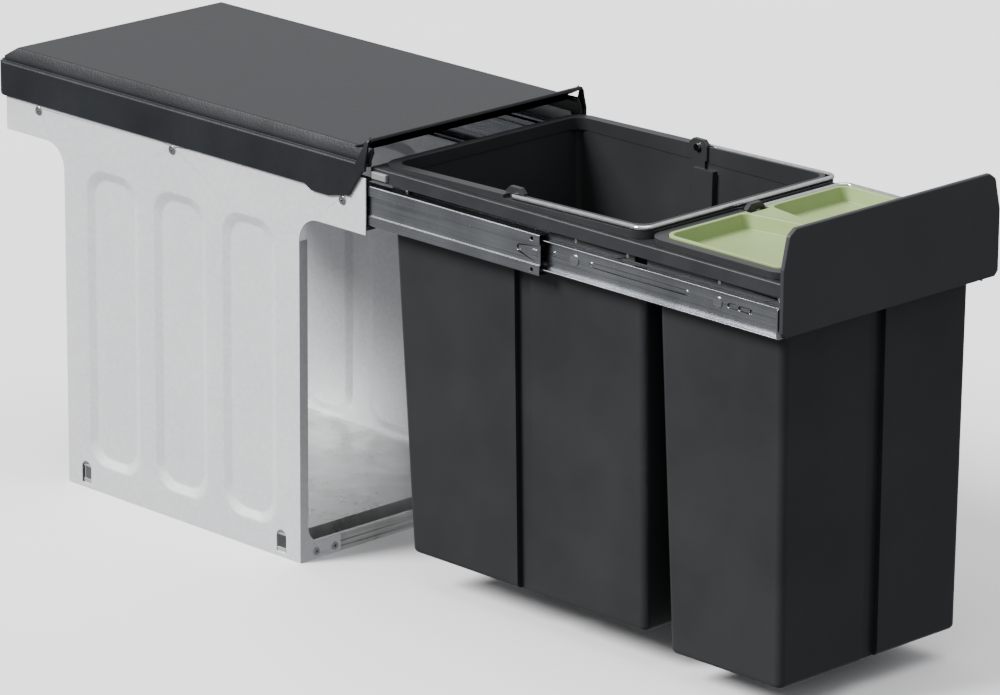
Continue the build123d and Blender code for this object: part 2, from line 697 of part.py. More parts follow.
def collar(rear, front, lip_rear):
    """Ring that hangs on the frame, up to a height that the rim cutter takes off again."""
    ring = extrude(rounded(COLLAR_HALF, front, rear, RIM_RADIUS + 6, SEAT_Z), amount=30)
    neck = extrude(rounded(BIN_HALF, front + BODY_INSET - 1, rear - BODY_INSET, BIN_RADIUS, STEP_Z), amount=12)
    rim_rear = rear - lip_rear
    rim_front = front + RIM_INSET
    well = extrude(rounded(RIM_HALF, rim_front, rim_rear, RIM_RADIUS, STEP_Z), amount=60)
    return ring, neck, well


def rim_plane(rear, front, z_rear, z_front):
    """Plane of the rim, hinged along X; its height changes from rear to front."""
    middle = (rear + front) / 2
    along = Vector(0, rear - front, z_rear - z_front).normalized()
    normal = Vector(1, 0, 0).cross(along)
    return Plane(Vector(0, middle, (z_rear + z_front) / 2), x_dir=(1, 0, 0), z_dir=normal)


def rim_lip(plane, length):
    """The raised lip inside the wire's rebate, drawn through the whole collar."""
    long_side = length - 2 * (RIM_INSET - RIM_LIP)
    outline = RectangleRounded(2 * (RIM_HALF + RIM_LIP), long_side, RIM_RADIUS - 2)
    return extrude(plane * outline, amount=20, both=True)


LARGE_RIM = rim_plane(LARGE_REAR, LARGE_FRONT, LARGE_RIM_REAR, LARGE_RIM_FRONT)
SMALL_RIM_PLANE = rim_plane(SMALL_REAR, SMALL_FRONT, SMALL_RIM, SMALL_RIM)
WIRE_UP = -REBATE + WIRE_R + 0.1
WIRE_X = COLLAR_HALF - WIRE_R - 1.5
LARGE_BAR_REACH = LARGE_LENGTH / 2 - WIRE_R - 1.5
SMALL_BAR_REACH = WIRE_X
SMALL_LEG = SMALL_LENGTH / 2 - WIRE_R - 1.5
EAR_X = RIM_HALF + RIM_LIP - EAR_THICK / 2
SMALL_LIP_Y = SMALL_LENGTH / 2 - RIM_INSET + RIM_LIP - EAR_THICK / 2


def large_bin():
    outer, inner = bin_shell(LARGE_REAR, LARGE_FRONT, LARGE_BOTTOM, LARGE_TAPER_X, LARGE_TAPER_REAR, 0.0)
    ring, neck, well = collar(LARGE_REAR, LARGE_FRONT, RIM_INSET)
    for side in SIDES:
        wall = side * BIN_HALF
        groove_y = LARGE_MID - LARGE_GROOVE_SHIFT
        outer -= wall_groove("y", side, wall, LARGE_TAPER_X, LARGE_BOTTOM, groove_y, 0)
        inner -= wall_groove("y", side, wall, LARGE_TAPER_X, LARGE_BOTTOM, groove_y, WALL)
    above = LARGE_RIM * Pos(0, 0, 30) * Box(400, 400, 60)
    lip = rim_lip(LARGE_RIM, LARGE_LENGTH)
    rebate = LARGE_RIM * Pos(0, -100 + EAR_WIDTH / 2 - 4, 30 - REBATE) * Box(400, 200, 60)
    ears = [
        block(
            side * (EAR_X - EAR_THICK / 2),
            side * (EAR_X + EAR_THICK / 2),
            LARGE_MID - 10,
            LARGE_MID + 10,
            STEP_Z + 2,
            EAR_TOP,
        )
        for side in SIDES
    ]
    body = outer + ring + neck - well - inner
    body = body - above - (rebate - lip)
    for side in SIDES:
        rib_in = side * (EAR_X - EAR_THICK / 2)
        body += block(rib_in, side * (BIN_HALF - 1), LARGE_MID - 8, LARGE_MID + 8, EAR_RIB_LOW, STEP_Z + 3)
    for ear in ears:
        top = ear.faces().sort_by(Axis.Z)[-1].edges().filter_by(Axis.X)
        body += chamfer(top, 4)
    pivot = LARGE_RIM.from_local_coords((0, 0, WIRE_UP))
    body -= rod_x(WIRE_R + WIRE_PLAY, -WIRE_X, WIRE_X, pivot.Y, pivot.Z)
    return body


def small_bin():
    outer, inner = bin_shell(SMALL_REAR, SMALL_FRONT, SMALL_BOTTOM, SMALL_TAPER_X, SMALL_TAPER_REAR, 0.5)
    ring, neck, well = collar(SMALL_REAR, SMALL_FRONT, RIM_INSET)
    top_front = SMALL_FRONT + BODY_INSET - 1.0
    top_rear = SMALL_REAR - BODY_INSET
    for outward, wall, taper in ((-1, top_front, 0.5), (1, top_rear, SMALL_TAPER_REAR)):
        outer -= wall_groove("x", outward, wall, taper, SMALL_BOTTOM, 0, 0)
        inner -= wall_groove("x", outward, wall, taper, SMALL_BOTTOM, 0, WALL)
    above = SMALL_RIM_PLANE * Pos(0, 0, 30) * Box(400, 400, 60)
    lip = rim_lip(SMALL_RIM_PLANE, SMALL_LENGTH)
    rebate = SMALL_RIM_PLANE * Pos(100 - EAR_WIDTH / 2 + 4, 0, 30 - REBATE) * Box(200, 400, 60)
    body = outer + ring + neck - well - inner
    body = body - above - (rebate - lip)
    for sign in SIDES:
        y = SMALL_MID + sign * SMALL_LIP_Y
        ear = block(-EAR_WIDTH / 2, EAR_WIDTH / 2, y - EAR_THICK / 2, y + EAR_THICK / 2, STEP_Z + 2, EAR_TOP)
        body += chamfer(ear.faces().sort_by(Axis.Z)[-1].edges().filter_by(Axis.Y), 4)
    low = STEP_Z - TRAY_LEDGE_T
    ledge = extrude(
        rounded(BIN_HALF - 1, SMALL_FRONT + BODY_INSET, SMALL_REAR - BODY_INSET - 1, BIN_RADIUS - 1, low),
        amount=TRAY_LEDGE_T,
    )
    inset = RIM_INSET + TRAY_LEDGE
    ledge -= extrude(
        rounded(RIM_HALF - TRAY_LEDGE, SMALL_FRONT + inset, SMALL_REAR - inset, RIM_RADIUS - TRAY_LEDGE, low - 1),
        amount=TRAY_LEDGE_T + 2,
    )
    body += ledge
    pivot_z = SMALL_RIM + WIRE_UP
    body -= rod_y(WIRE_R + WIRE_PLAY, SMALL_MID - SMALL_LEG, SMALL_MID + SMALL_LEG, 0, pivot_z)
    return body


def bail(points, ends):
    """Round wire along a U path, with a peened head on each end."""
    path = FilletPolyline(*points, radius=[WIRE_BEND * 0.4] + [WIRE_BEND, WIRE_BEND] + [WIRE_BEND * 0.4])
    start = Plane(origin=path @ 0, z_dir=path % 0)
    wire = sweep(start * Circle(WIRE_R), path=path)
    for head in ends:
        wire += head
    return wire


def large_handle():
    place = LARGE_RIM.from_local_coords
    inner_x = EAR_X - EAR_THICK / 2 - 1.2
    points = [
        place((-inner_x, 0, WIRE_UP)),
        place((-WIRE_X, 0, WIRE_UP)),
        place((-WIRE_X, -LARGE_BAR_REACH, WIRE_UP)),
        place((WIRE_X, -LARGE_BAR_REACH, WIRE_UP)),
        place((WIRE_X, 0, WIRE_UP)),
        place((inner_x, 0, WIRE_UP)),
    ]
    pivot = points[0]
    heads = [rod_x(HEAD_R, side * (inner_x - 1.0), side * (inner_x + 0.9), pivot.Y, pivot.Z) for side in SIDES]
    return bail(points, heads)


def small_handle():
    z = SMALL_RIM + WIRE_UP
    inner_y = SMALL_LIP_Y - EAR_THICK / 2 - 1.2
    y0 = SMALL_MID - SMALL_LEG
    y1 = SMALL_MID + SMALL_LEG
    points = [
        (0, SMALL_MID - inner_y, z),
        (0, y0, z),
        (SMALL_BAR_REACH, y0, z),
        (SMALL_BAR_REACH, y1, z),
        (0, y1, z),
        (0, SMALL_MID + inner_y, z),
    ]
    heads = [
        rod_y(HEAD_R, SMALL_MID + sign * (inner_y - 1.0), SMALL_MID + sign * (inner_y + 0.9), 0, z) for sign in SIDES
    ]
    return bail(points, heads)


def compost_tray():
    """Two-pocket tray that rests on the step inside the small bin."""
    x_half = RIM_HALF - TRAY_GAP
    rear = SMALL_REAR - RIM_INSET - TRAY_GAP
    front = SMALL_FRONT + RIM_INSET + TRAY_GAP
    body = extrude(rounded(x_half, front, rear, RIM_RADIUS - TRAY_GAP, STEP_Z), amount=TRAY_TOP - STEP_Z)
    middle = (front + rear) / 2
    depth = TRAY_TOP - STEP_Z - TRAY_WALL
    draft = depth * math.tan(math.radians(TRAY_DRAFT))
    pocket_end = (rear - front) / 2 - TRAY_RIM - draft
    wide = DIVIDER_WIDE / 2 + draft
    narrow = DIVIDER_NARROW / 2 + draft
    outer = x_half - TRAY_RIM - draft
    outline = [
        (wide, -pocket_end),
        (outer, -pocket_end),
        (outer, pocket_end),
        (wide, pocket_end),
        (narrow, 0),
    ]
    for side in SIDES:
        face = make_face(Polyline(*[(side * x, y) for x, y in outline], close=True))
        corners = face.vertices().sort_by(lambda v: abs(v.X))[1:]
        face = fillet(corners, 6)
        pocket = Pos(0, middle, STEP_Z + TRAY_WALL) * face
        body -= extrude(pocket, amount=depth, taper=-TRAY_DRAFT)
    for sign in SIDES:
        y = SMALL_MID + sign * SMALL_LIP_Y
        half = EAR_WIDTH / 2 + 1.0
        body -= block(-half, half, y - EAR_THICK / 2 - 4.4, y + EAR_THICK / 2 + 4.4, STEP_Z - 1, TRAY_TOP + 1)
    return body


# ---- fasteners and small pieces ----


def plate_rivets():
    pieces = []
    for side in SIDES:
        for y in RIVET_YS:
            shank = rod_x(2.5, side * (PLATE_OUT + 0.5), side * (PLATE_IN - RAIL_SHEET), y, RAIL_Z)
            seat = Pos(side * PLATE_OUT, y, RAIL_Z) * Rot(0, side * 90, 0)
            dome = seat * Cylinder(4.2, 1.1, align=(Align.CENTER, Align.CENTER, Align.MIN))
            top = dome.faces().sort_by(Axis.X)[0 if side < 0 else -1].edges()
            centre = rod_x(1.1, side * (PLATE_OUT - 0.5), side * (PLATE_OUT + 2), y, RAIL_Z)
            pieces.append(shank + fillet(top, 0.9) - centre)
    return group(pieces)


def pan_rivets():
    """Hollow rivets through the plate gussets and the pan's lips."""
    pieces = []
    for side in SIDES:
        for reach in GUSSET_RIVETS:
            x = side * (PLATE_OUT - reach)
            for face, inward in ((FRONT, 1), (REAR, -1)):
                rivet = rod_y(2.0, face - inward * 0.8, face + inward * (2 * SHEET + 0.8), x, GUSSET_RIVET_Z)
                rivet += rod_y(3.4, face - inward * 0.8, face, x, GUSSET_RIVET_Z)
                rivet += rod_y(2.9, face + inward * 2 * SHEET, face + inward * (2 * SHEET + 0.8), x, GUSSET_RIVET_Z)
                rivet -= rod_y(1.3, face - inward * 2, face + inward * 6, x, GUSSET_RIVET_Z)
                pieces.append(rivet)
    return group(pieces)


def rail_rivets():
    """Large rivets that hold the inner rails to the frame's webs."""
    pieces = []
    hang = PLATE_IN - INNER_U
    for side in SIDES:
        for y in BIG_RIVET_YS:
            rivet = rod_x(2.4, side * (hang + RAIL_SHEET + 0.9), side * (hang - FRAME_SHEET - 0.9), y, RAIL_Z + 1.5)
            rivet += rod_x(4.4, side * (hang + RAIL_SHEET), side * (hang + RAIL_SHEET + 0.9), y, RAIL_Z + 1.5)
            rivet += rod_x(3.6, side * (hang - FRAME_SHEET), side * (hang - FRAME_SHEET - 0.9), y, RAIL_Z + 1.5)
            pieces.append(rivet)
    return group(pieces)


def hanger_pins():
    """Pins flush with the webs' outer faces, so they pass the middle rail."""
    pieces = []
    hang = PLATE_IN - INNER_U
    inside = hang - FRAME_SHEET
    for side in SIDES:
        for y in HANGER_YS:
            pin = rod_x(1.5, side * hang, side * inside, y, PIN_Z)
            pieces.append(pin + rod_x(2.4, side * inside, side * (inside - 0.8), y, PIN_Z))
    return group(pieces)


def frame_pins():
    """Flush rivets that join the bars to the side sections."""
    pieces = []
    for side in SIDES:
        for y in FRAME_PIN_YS:
            pin = rod_z(2.0, FRAME_TOP - 2 * FRAME_SHEET - 0.8, FRAME_TOP, side * FRAME_PIN_X, y)
            pin += rod_z(3.0, FRAME_TOP - 2 * FRAME_SHEET - 0.8, FRAME_TOP - 2 * FRAME_SHEET, side * FRAME_PIN_X, y)
            pieces.append(pin)
    return group(pieces)


def panel_screws():
    pieces = []
    inside = FRAME_FRONT + FRAME_SHEET
    for x in PANEL_SCREW_XS:
        screw = rod_y(1.6, FRAME_FRONT - 2.8, inside + 1.6, x, PANEL_SCREW_Z)
        screw += rod_y(3.4, inside, inside + 1.6, x, PANEL_SCREW_Z)
        pieces.append(screw)
    return group(pieces)


def frame_slider():
    """Plastic slider on the frame's rear corner; it steadies the frame between the plates."""
    body = block(-FRAME_HALF, -FRAME_HALF - 2.8, FRAME_REAR - 20, FRAME_REAR - 3, FRAME_TOP - FRAME_LIP + 2, FRAME_TOP - 3)
    return fillet(body.faces().sort_by(Axis.X)[0].edges(), 1.0)


def rail_buffer():
    """Rubber stop at the back of the cabinet rail."""
    y = INNER_Y[1] + TRAVEL + 1.0
    return rail_box(RAIL_SHEET, RAIL_DEPTH - 2.5, y, y + 9, -5, 5)


left_parts = {
    "side_plate": left_plate(),
    "cabinet_rail": cabinet_rail(),
    "mid_rail": mid_rail(),
    "inner_rail": inner_rail(),
    "outer_ball_cage": cage(MID_HALF, CABINET_HALF - RAIL_SHEET, RAIL_SHEET + 0.15, RAIL_DEPTH - 2.0,
                            RAIL_SHEET + 0.15, OUTER_CAGE_MID, OUTER_BALLS),
    "outer_balls": ball_set(OUTER_BALLS),
    "inner_ball_cage": cage(INNER_HALF, MID_HALF - RAIL_SHEET, INNER_FROM - 0.3 - CAGE_SHEET / 2, INNER_U - 0.5,
                            INNER_FROM - 0.3 - CAGE_SHEET / 2, INNER_CAGE_MID, INNER_BALLS),
    "inner_balls": ball_set(INNER_BALLS),
    "frame_side": frame_side(),
    "frame_slider": frame_slider(),
    "rail_buffer": rail_buffer(),
}

parts = {
    "floor_pan": floor_pan(),
    "rear_brace": rear_brace(),
    "top_cover": top_cover(),
    "plate_rivets": plate_rivets(),
    "pan_rivets": pan_rivets(),
    "frame_rear_bar": cross_bar(FRAME_REAR - 9.0, FRAME_REAR, (FRAME_REAR,)),
    "frame_middle_bar": cross_bar(BAR_Y - 5.0, BAR_Y + 5.0, (BAR_Y - 5.0, BAR_Y + 5.0)),
    "frame_front_bar": front_bar(),
    "frame_pins": frame_pins(),
    "rail_rivets": rail_rivets(),
    "hanger_pins": hanger_pins(),
    "front_panel": front_panel(),
    "panel_screws": panel_screws(),
    "large_bin": large_bin(),
    "large_bin_handle": large_handle(),
    "small_bin": small_bin(),
    "small_bin_handle": small_handle(),
    "compost_tray": compost_tray(),
}
for name, piece in left_parts.items():
    parts[name + "_left"] = piece
    parts[name + "_right"] = flip(piece)

os.makedirs("parts", exist_ok=True)
for name, piece in parts.items():
    solids = piece.solids()
    export_step(solids[0] if len(solids) == 1 else Compound(list(solids)), f"parts/{name}.step")
    print(name, len(solids), round(sum(solid.volume for solid in solids)))
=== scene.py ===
import json
import math
import bpy
from mathutils import Matrix, Vector

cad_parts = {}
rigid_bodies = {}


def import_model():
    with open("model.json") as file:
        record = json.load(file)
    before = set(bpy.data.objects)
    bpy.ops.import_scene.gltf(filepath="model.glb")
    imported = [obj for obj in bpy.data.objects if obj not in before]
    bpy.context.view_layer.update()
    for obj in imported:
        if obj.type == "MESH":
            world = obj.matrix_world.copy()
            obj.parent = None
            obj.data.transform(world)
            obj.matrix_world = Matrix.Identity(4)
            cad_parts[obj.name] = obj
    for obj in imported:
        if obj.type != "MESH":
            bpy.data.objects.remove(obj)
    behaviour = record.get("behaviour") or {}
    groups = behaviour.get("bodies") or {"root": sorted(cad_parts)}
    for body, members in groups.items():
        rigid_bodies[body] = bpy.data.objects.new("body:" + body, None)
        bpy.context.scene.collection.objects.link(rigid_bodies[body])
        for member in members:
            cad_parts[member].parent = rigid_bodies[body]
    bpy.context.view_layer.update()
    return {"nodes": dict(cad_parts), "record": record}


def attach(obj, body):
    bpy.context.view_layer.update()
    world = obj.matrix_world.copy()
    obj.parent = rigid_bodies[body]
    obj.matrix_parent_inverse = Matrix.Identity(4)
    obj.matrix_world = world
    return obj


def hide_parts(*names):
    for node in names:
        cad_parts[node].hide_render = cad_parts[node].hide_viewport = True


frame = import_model()
print("frame loaded", len(frame["nodes"]), "nodes")

perMetre = 1000.0  # millimetres in a metre, for texture scales
reliefDepth = 0.0002  # how deep moulded grain, plating ripple and zinc speckle go
lineDepth = 0.0001  # how deep drawing lines go


def linearColour(hexText):
    channels = []
    for start in (1, 3, 5):
        value = int(hexText[start:start + 2], 16) / 255
        if value <= 0.04045:
            channels.append(value / 12.92)
        else:
            channels.append(((value + 0.055) / 1.055) ** 2.4)
    return (channels[0], channels[1], channels[2], 1.0)


def addNode(tree, kind, settings=None, links=None):
    node = tree.nodes.new(kind)
    for name, value in (settings or {}).items():
        if name in node.inputs:
            node.inputs[name].default_value = value
        else:
            setattr(node, name, value)
    for name, source in (links or {}).items():
        tree.links.new(source, node.inputs[name])
    return node


def startMaterial(name):
    material = bpy.data.materials.new(name)
    material.use_nodes = True
    tree = material.node_tree
    tree.nodes.clear()
    place = addNode(tree, "ShaderNodeTexCoord").outputs["Object"]
    return material, tree, place


def endMaterial(tree, shader):
    addNode(tree, "ShaderNodeOutputMaterial", {}, {"Surface": shader.outputs["BSDF"]})


def stretched(tree, place, scale):
    return addNode(tree, "ShaderNodeMapping", {"Scale": scale}, {"Vector": place}).outputs["Vector"]


def colourRamp(tree, factor, stops):
    ramp = addNode(tree, "ShaderNodeValToRGB", {}, {"Fac": factor})
    elements = ramp.color_ramp.elements
    while len(elements) < len(stops):
        elements.new(0.5)
    for element, (position, colour) in zip(elements, stops):
        element.position = position
        element.color = linearColour(colour)
    return ramp.outputs["Color"]


def valueRange(tree, value, low, high, fromLow=0.0, fromHigh=1.0):
    settings = {"From Min": fromLow, "From Max": fromHigh, "To Min": low, "To Max": high}
    return addNode(tree, "ShaderNodeMapRange", settings, {"Value": value}).outputs["Result"]


def galvanisedSheet():
    # hot-dip galvanised steel, rolled then pressed: pale, satin, with faint crystals a few mm across
    look = {"pale": "#f1f2f4", "dull": "#e4e5e8", "crystal": 3.0, "speckle": 1.5, "cloud": 9.0,
            "roughness": (0.42, 0.52), "bump": 0.12, "metal": 0.35}  # crystal and speckle in mm
    material, tree, place = startMaterial("galvanisedSteelSheet")
    crystals = addNode(tree, "ShaderNodeTexVoronoi", {"Scale": perMetre / look["crystal"], "Randomness": 1.0},
                       {"Vector": place})
    speckle = addNode(tree, "ShaderNodeTexNoise", {"Scale": perMetre / look["speckle"], "Detail": 4.0},
                      {"Vector": place})
    cloud = addNode(tree, "ShaderNodeTexNoise", {"Scale": look["cloud"], "Detail": 3.0}, {"Vector": place})
    crystalTone = addNode(tree, "ShaderNodeSeparateColor", {}, {"Color": crystals.outputs["Color"]})
    tone = addNode(tree, "ShaderNodeMix", {"data_type": "FLOAT", "Factor": 0.6},
                   {"A": crystalTone.outputs["Red"], "B": cloud.outputs["Fac"]})
    colour = colourRamp(tree, tone.outputs["Result"], [(0.2, look["dull"]), (0.85, look["pale"])])
    rough = valueRange(tree, tone.outputs["Result"], *look["roughness"])
    bump = addNode(tree, "ShaderNodeBump", {"Strength": look["bump"], "Distance": reliefDepth},
                   {"Height": speckle.outputs["Fac"]})
    shader = addNode(tree, "ShaderNodeBsdfPrincipled", {"Metallic": look["metal"]},
                     {"Base Color": colour, "Roughness": rough, "Normal": bump.outputs["Normal"]})
    endMaterial(tree, shader)
    return material


def spangledPan():
    # the same zinc coat on a thicker floor sheet: larger crystals, glossier, mottled grey
    look = {"bright": "#dcdddc", "dark": "#a9aca9", "crystal": 16.0, "drift": 40.0, "bend": 0.02, "patch": 26.0,
            "roughness": (0.2, 0.4), "metal": 0.55}  # crystal in mm
    material, tree, place = startMaterial("spangledZincFloor")
    drift = addNode(tree, "ShaderNodeTexNoise", {"Scale": look["drift"], "Detail": 3.0}, {"Vector": place})
    bent = addNode(tree, "ShaderNodeMix", {"data_type": "VECTOR", "Factor": look["bend"]},
                   {"A": place, "B": drift.outputs["Color"]})
    crystals = addNode(tree, "ShaderNodeTexVoronoi", {"Scale": perMetre / look["crystal"], "feature": "SMOOTH_F1"},
                       {"Vector": bent.outputs[1]})
    patches = addNode(tree, "ShaderNodeTexNoise", {"Scale": look["patch"], "Detail": 6.0, "Roughness": 0.65},
                      {"Vector": place})
    crystalTone = addNode(tree, "ShaderNodeSeparateColor", {}, {"Color": crystals.outputs["Color"]})
    tone = addNode(tree, "ShaderNodeMix", {"data_type": "FLOAT", "Factor": 0.6},
                   {"A": crystalTone.outputs["Green"], "B": patches.outputs["Fac"]})
    colour = colourRamp(tree, tone.outputs["Result"], [(0.25, look["dark"]), (0.75, look["bright"])])
    rough = valueRange(tree, tone.outputs["Result"], *look["roughness"])
    shader = addNode(tree, "ShaderNodeBsdfPrincipled", {"Metallic": look["metal"]},
                     {"Base Color": colour, "Roughness": rough})
    endMaterial(tree, shader)
    return material


def drawnSteel(name, look):
    # cold-rolled or drawn steel: fine lines along its length, with a smeared tone over them
    material, tree, place = startMaterial(name)
    across = perMetre / look["line"]
    along = stretched(tree, place, (across, look["along"], across))
    lines = addNode(tree, "ShaderNodeTexNoise", {"Scale": 1.0, "Detail": 3.0, "Roughness": 0.6}, {"Vector": along})
    smear = addNode(tree, "ShaderNodeTexNoise", {"Scale": look["smear"], "Detail": 4.0}, {"Vector": place})
    tone = addNode(tree, "ShaderNodeMix", {"data_type": "FLOAT", "Factor": 0.4},
                   {"A": lines.outputs["Fac"], "B": smear.outputs["Fac"]})
    colour = colourRamp(tree, tone.outputs["Result"], [(0.3, look["dull"]), (0.7, look["bright"])])
    rough = valueRange(tree, tone.outputs["Result"], *look["roughness"])
    bump = addNode(tree, "ShaderNodeBump", {"Strength": look["bump"], "Distance": lineDepth},
                   {"Height": lines.outputs["Fac"]})
    shader = addNode(tree, "ShaderNodeBsdfPrincipled", {"Metallic": 1.0},
                     {"Base Color": colour, "Roughness": rough, "Normal": bump.outputs["Normal"]})
    endMaterial(tree, shader)
    return material


def mouldedPlastic(name, look):
    # injection-moulded plastic: an even colour with a faint cloud in it, under a grained skin from the mould
    material, tree, place = startMaterial(name)
    cells = perMetre / look["grain"]
    grain = addNode(tree, "ShaderNodeTexVoronoi", {"Scale": cells, "feature": "SMOOTH_F1"}, {"Vector": place})
    fine = addNode(tree, "ShaderNodeTexNoise", {"Scale": cells * 1.7, "Detail": 2.0}, {"Vector": place})
    cloud = addNode(tree, "ShaderNodeTexNoise", {"Scale": look["cloud"], "Detail": 5.0, "Roughness": 0.6},
                    {"Vector": place})
    colour = colourRamp(tree, cloud.outputs["Fac"], [(0.3, look["dark"]), (0.7, look["light"])])
    rough = valueRange(tree, cloud.outputs["Fac"], *look["roughness"], 0.3, 0.7)
    height = addNode(tree, "ShaderNodeMix", {"data_type": "FLOAT", "Factor": 0.5},
                     {"A": grain.outputs["Distance"], "B": fine.outputs["Fac"]})
    bump = addNode(tree, "ShaderNodeBump", {"Strength": look["bump"], "Distance": reliefDepth},
                   {"Height": height.outputs["Result"]})
    shader = addNode(tree, "ShaderNodeBsdfPrincipled", {"IOR": look["ior"], "Specular IOR Level": look["shine"]},
                     {"Base Color": colour, "Roughness": rough, "Normal": bump.outputs["Normal"]})
    endMaterial(tree, shader)
    return material


def chromedWire():
    # bright nickel-chrome plate on drawn wire: a clean mirror, a little wavy
    look = {"dull": "#d9dadb", "bright": "#eeeff0", "waves": 180.0, "roughness": (0.05, 0.12), "bump": 0.08}
    material, tree, place = startMaterial("chromePlatedWire")
    waves = addNode(tree, "ShaderNodeTexNoise", {"Scale": look["waves"], "Detail": 2.0}, {"Vector": place})
    colour = colourRamp(tree, waves.outputs["Fac"], [(0.3, look["dull"]), (0.7, look["bright"])])
    rough = valueRange(tree, waves.outputs["Fac"], *look["roughness"])
    bump = addNode(tree, "ShaderNodeBump", {"Strength": look["bump"], "Distance": reliefDepth},
                   {"Height": waves.outputs["Fac"]})
    shader = addNode(tree, "ShaderNodeBsdfPrincipled", {"Metallic": 1.0},
                     {"Base Color": colour, "Roughness": rough, "Normal": bump.outputs["Normal"]})
    endMaterial(tree, shader)
    return material


# grain is the size of a grain cell in mm, cloud is how many colour clouds fit in a metre
coverLook = {"dark": "#1a1c1e", "light": "#232527", "grain": 2.0, "cloud": 14.0, "roughness": (0.32, 0.39),
             "bump": 0.9, "ior": 1.53, "shine": 0.3}
binLook = {"dark": "#262728", "light": "#2e2f30", "grain": 2.2, "cloud": 9.0, "roughness": (0.28, 0.36),
           "bump": 0.08, "ior": 1.49, "shine": 0.3}
panelLook = {"dark": "#2b2d30", "light": "#323437", "grain": 1.2, "cloud": 12.0, "roughness": (0.42, 0.52),
             "bump": 0.12, "ior": 1.5, "shine": 0.4}
frameLook = {"dark": "#232427", "light": "#2a2b2d", "grain": 1.0, "cloud": 30.0, "roughness": (0.34, 0.44),
             "bump": 0.15, "ior": 1.5, "shine": 0.5}
trayLook = {"dark": "#829660", "light": "#8fa36d", "grain": 2.0, "cloud": 16.0, "roughness": (0.36, 0.46),
            "bump": 0.06, "ior": 1.49, "shine": 0.4}
sliderLook = {"dark": "#7c7e7d", "light": "#888a89", "grain": 1.0, "cloud": 40.0, "roughness": (0.4, 0.5),
              "bump": 0.08, "ior": 1.53, "shine": 0.4}
rubberLook = {"dark": "#17171a", "light": "#1f1f22", "grain": 0.8, "cloud": 60.0, "roughness": (0.7, 0.85),
              "bump": 0.2, "ior": 1.52, "shine": 0.3}

# line is the width of a drawing line in mm
slideLook = {"bright": "#c3c6ca", "dull": "#84878b", "roughness": (0.2, 0.34), "line": 0.5, "along": 6.0,
             "smear": 22.0, "bump": 0.1}
cageLook = {"bright": "#a8a9aa", "dull": "#7f8183", "roughness": (0.3, 0.42), "line": 0.6, "along": 6.0,
            "smear": 22.0, "bump": 0.1}
ballLook = {"bright": "#cfd0d1", "dull": "#b5b6b7", "roughness": (0.08, 0.14), "line": 1.0, "along": 6.0,
            "smear": 22.0, "bump": 0.1}
rivetLook = {"bright": "#c9cacb", "dull": "#9c9ea0", "roughness": (0.24, 0.36), "line": 0.8, "along": 6.0,
             "smear": 22.0, "bump": 0.1}

finishes = {
    "sheet": galvanisedSheet(),
    "pan": spangledPan(),
    "slide": drawnSteel("brightZincStrip", slideLook),
    "cage": drawnSteel("springSteelStrip", cageLook),
    "ball": drawnSteel("hardenedSteelBalls", ballLook),
    "rivet": drawnSteel("zincPlatedRivets", rivetLook),
    "cover": mouldedPlastic("grainedAbsCover", coverLook),
    "bin": mouldedPlastic("blackPolypropyleneBins", binLook),
    "panel": mouldedPlastic("blackAbsFrontPanel", panelLook),
    "frame": mouldedPlastic("blackPowderCoat", frameLook),
    "tray": mouldedPlastic("greenPolypropyleneTray", trayLook),
    "slider": mouldedPlastic("greyNylonSlider", sliderLook),
    "rubber": mouldedPlastic("blackRubberBuffer", rubberLook),
    "wire": chromedWire(),
}
print("materials ready", len(finishes))


tracing = {"weld": 0.00001, "flat": math.radians(0.5), "crease": math.radians(40)}


def pickOnly(piece):
    bpy.ops.object.select_all(action="DESELECT")
    bpy.context.view_layer.objects.active = piece
    piece.select_set(True)


def paint(piece, finish):
    piece.data.materials.clear()
    piece.data.materials.append(finishes[finish])


def flatGroups(mesh, limit):
    # numbers the polygons so that neighbours lying in one plane share a number
    owners = {}
    for polygon in mesh.polygons:
        for key in polygon.edge_keys:
            owners.setdefault(key, []).append(polygon.index)
    normals = [polygon.normal.copy() for polygon in mesh.polygons]
    group = [None] * len(mesh.polygons)
    for first in range(len(group)):
        if group[first] is not None:
            continue
        group[first] = first
        waiting = [first]
        while waiting:
            here = waiting.pop()
            for key in mesh.polygons[here].edge_keys:
                for other in owners[key]:
                    if group[other] is None and normals[here].angle(normals[other], 0.0) < limit:
                        group[other] = first
                        waiting.append(other)
    return group, owners


def loopCount(rim):
    # how many separate closed lines the rim edges make
    lead = {}

    def top(vertex):
        while lead.setdefault(vertex, vertex) != vertex:
            vertex = lead[vertex]
        return vertex

    for a, b in rim:
        lead[top(a)] = top(b)
    return len({top(vertex) for vertex in list(lead)})


def seamHoledFaces(piece, limit):
    # a flat face with holes in it keeps its triangles, because one many-sided face can't hold a hole
    mesh = piece.data
    group, owners = flatGroups(mesh, limit)
    rims = {}
    inside = {}
    for key, pair in owners.items():
        if len(pair) == 2 and group[pair[0]] == group[pair[1]]:
            inside.setdefault(group[pair[0]], set()).add(key)
        else:
            for index in pair:
                rims.setdefault(group[index], []).append(key)
    holed = set()
    for name, rim in rims.items():
        if loopCount(rim) > 1:
            holed |= inside.get(name, set())
    for edge in mesh.edges:
        edge.use_seam = edge.key in holed


